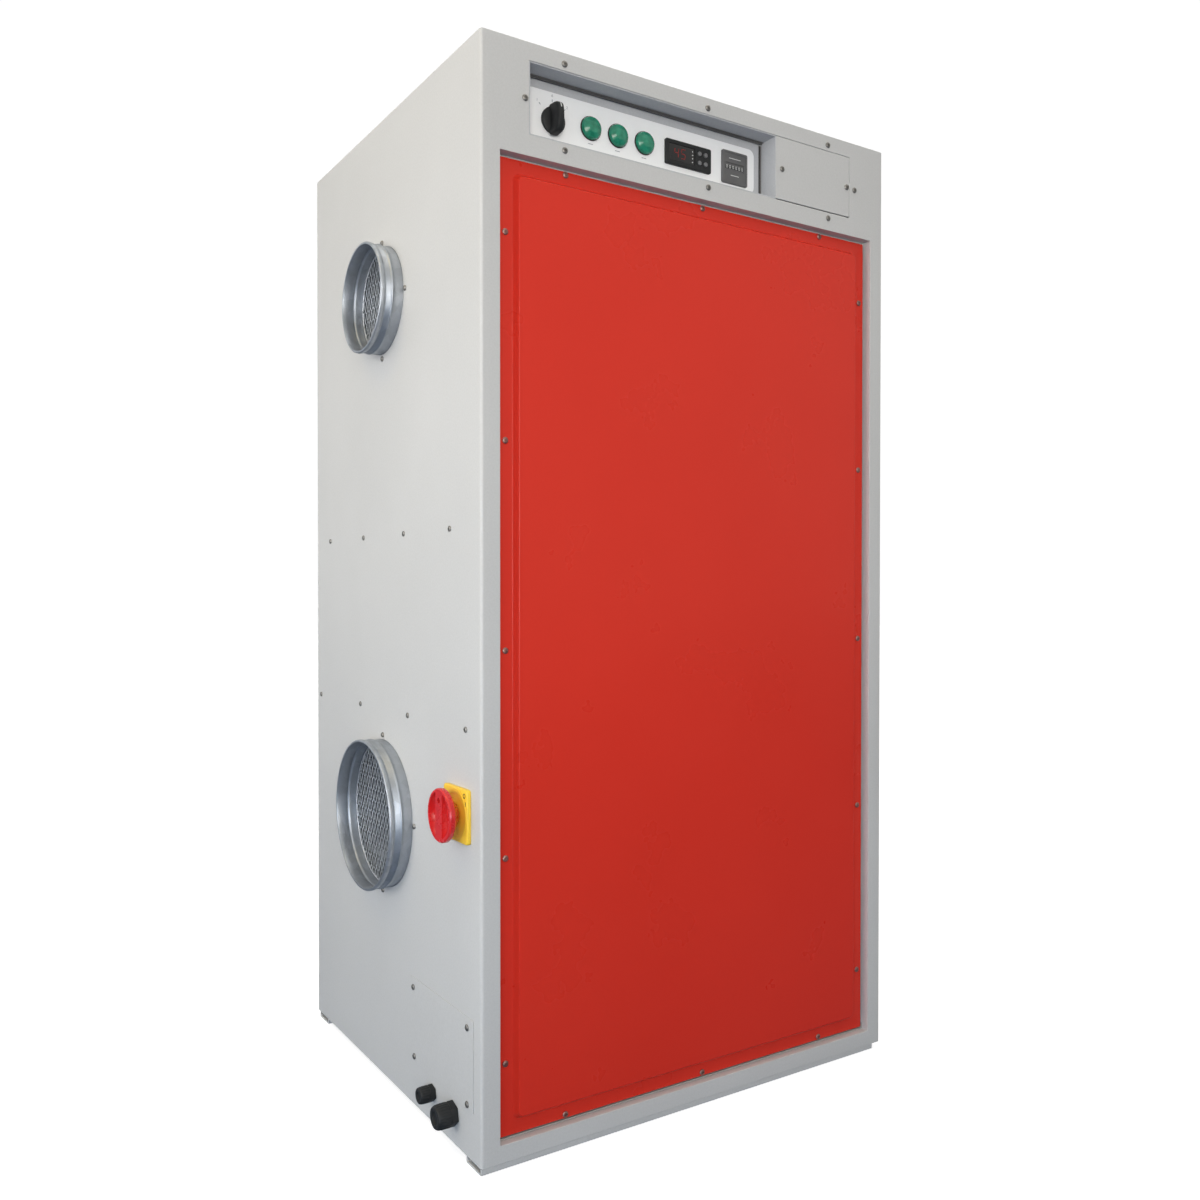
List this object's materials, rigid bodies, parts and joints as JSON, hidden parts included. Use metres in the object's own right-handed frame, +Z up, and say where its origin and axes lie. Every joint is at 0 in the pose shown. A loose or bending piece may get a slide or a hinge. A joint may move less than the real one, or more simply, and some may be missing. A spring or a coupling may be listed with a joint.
{
  "type": "commercial desiccant dehumidifier",
  "caption": "Floor-standing ducted desiccant dehumidifier: sheet-metal cabinet, screwed front panel, recessed controls, duct spigots, isolator and an internal drying rotor.",
  "frame": {"origin": "on the floor under the middle of the cabinet (middle of the footprint, skid rails' underside)", "axes": "+Z up, the front panel and the controls face -Y, the supply and wet-air spigots stand out of the -X side"},
  "size_m": [0.71, 0.566, 1.3],
  "materials": {
    "coated_grey": "fine-textured powder coat",
    "coated_red": "satin powder coat",
    "galvanised": "galvanised spangle",
    "zinc_screw": "zinc plated",
    "overlay_white": "satin overlay",
    "green_lens": "moulded translucent lens",
    "black_plastic": "fine spark-eroded texture",
    "grey_plastic": "satin",
    "yellow_plastic": "semi-gloss",
    "red_plastic": "semi-gloss",
    "rubber": "matt",
    "motor_black": "cast, painted",
    "heater_steel": "oxidised",
    "filter_media": "non-woven",
    "aluminium": "mill finish",
    "silica_matrix": "honeycomb"
  },
  "bodies": {
    "cabinet": {"cabinet_wrap": "coated_grey", "landing_frame": "coated_grey", "top_panel": "coated_grey", "rear_panel": "coated_grey", "rear_screws": "zinc_screw", "base_tray": "galvanised", "skid_front": "coated_grey", "skid_rear": "coated_grey", "control_recess": "coated_grey", "control_overlay": "overlay_white", "pilot_lamp_1": "green_lens", "pilot_lamp_2": "green_lens", "pilot_lamp_3": "green_lens", "controller_body": "black_plastic", "hour_counter": "grey_plastic", "header_blank_cover": "coated_grey", "header_screws": "zinc_screw", "electrical_box": "galvanised", "contactor_row": "grey_plastic", "isolator_base": "yellow_plastic", "terminal_cover": "coated_grey", "terminal_screws": "zinc_screw", "terminal_block": "grey_plastic", "cable_gland_small": "black_plastic", "cable_gland_large": "black_plastic", "spigot_supply": "galvanised", "spigot_wet": "galvanised", "spigot_inlet": "galvanised", "spigot_regen": "galvanised", "guard_supply": "galvanised", "guard_wet": "galvanised", "guard_inlet": "galvanised", "guard_regen": "galvanised", "deck_lower": "galvanised", "deck_upper": "galvanised", "rotor_seal_lower": "rubber", "rotor_seal_upper": "rubber", "drive_belt": "rubber", "gearmotor": "motor_black", "process_fan_scroll": "galvanised", "process_motor": "motor_black", "heater_plenum": "galvanised", "heater_element": "heater_steel", "regen_hood": "galvanised", "regen_fan_scroll": "galvanised", "regen_motor": "motor_black", "process_filter": "filter_media"},
    "panel": {"front_panel": "coated_red", "panel_screws": "zinc_screw"},
    "isolator": {"isolator_handle": "red_plastic"},
    "selector": {"selector_knob": "black_plastic"},
    "set_key": {"key_set": "grey_plastic"},
    "up_key": {"key_up": "grey_plastic"},
    "power_key": {"key_power": "grey_plastic"},
    "down_key": {"key_down": "grey_plastic"},
    "rotor": {"rotor_frame": "aluminium", "rotor_matrix": "silica_matrix"},
    "pulley": {"drive_pulley": "aluminium"},
    "process_wheel": {"process_impeller": "aluminium"},
    "regen_wheel": {"regen_impeller": "aluminium"}
  },
  "joints": [
    {"name": "panel_pull", "type": "slide", "parent": "cabinet", "child": "panel", "axis": [0, -1, 0], "range_m": [0, 0.15]},
    {"name": "isolator_turn", "type": "hinge", "parent": "cabinet", "child": "isolator", "pos_m": [-0.3311, -0.224, 0.4047], "axis": [1, 0, 0], "range_deg": [0, 90]},
    {"name": "selector_turn", "type": "hinge", "parent": "cabinet", "child": "selector", "pos_m": [-0.214, -0.2525, 1.23], "axis": [0, 1, 0], "range_deg": [-45, 45]},
    {"name": "set_press", "type": "slide", "parent": "cabinet", "child": "set_key", "axis": [0, 1, 0], "range_m": [0, 0.0012], "stiffness_N_per_m": 300, "springref_m": -0.0005},
    {"name": "up_press", "type": "slide", "parent": "cabinet", "child": "up_key", "axis": [0, 1, 0], "range_m": [0, 0.0012], "stiffness_N_per_m": 300, "springref_m": -0.0005},
    {"name": "power_press", "type": "slide", "parent": "cabinet", "child": "power_key", "axis": [0, 1, 0], "range_m": [0, 0.0012], "stiffness_N_per_m": 300, "springref_m": -0.0005},
    {"name": "down_press", "type": "slide", "parent": "cabinet", "child": "down_key", "axis": [0, 1, 0], "range_m": [0, 0.0012], "stiffness_N_per_m": 300, "springref_m": -0.0005},
    {"name": "rotor_spin", "type": "hinge", "parent": "cabinet", "child": "rotor", "pos_m": [0, 0.008, 0.62], "axis": [0, 0, 1], "continuous": true},
    {"name": "pulley_spin", "type": "hinge", "parent": "cabinet", "child": "pulley", "pos_m": [-0.286, -0.222, 0.612], "axis": [0, 0, 1], "continuous": true},
    {"name": "process_wheel_spin", "type": "hinge", "parent": "cabinet", "child": "process_wheel", "pos_m": [-0.165, 0.012, 0.24], "axis": [0, 1, 0], "continuous": true},
    {"name": "regen_wheel_spin", "type": "hinge", "parent": "cabinet", "child": "regen_wheel", "pos_m": [0.104, 0.066, 1.054], "axis": [0, 0, 1], "continuous": true}
  ],
  "couplings": [
    {"joint": "pulley_spin", "follows": "rotor_spin", "ratio": 10.84}
  ]
}
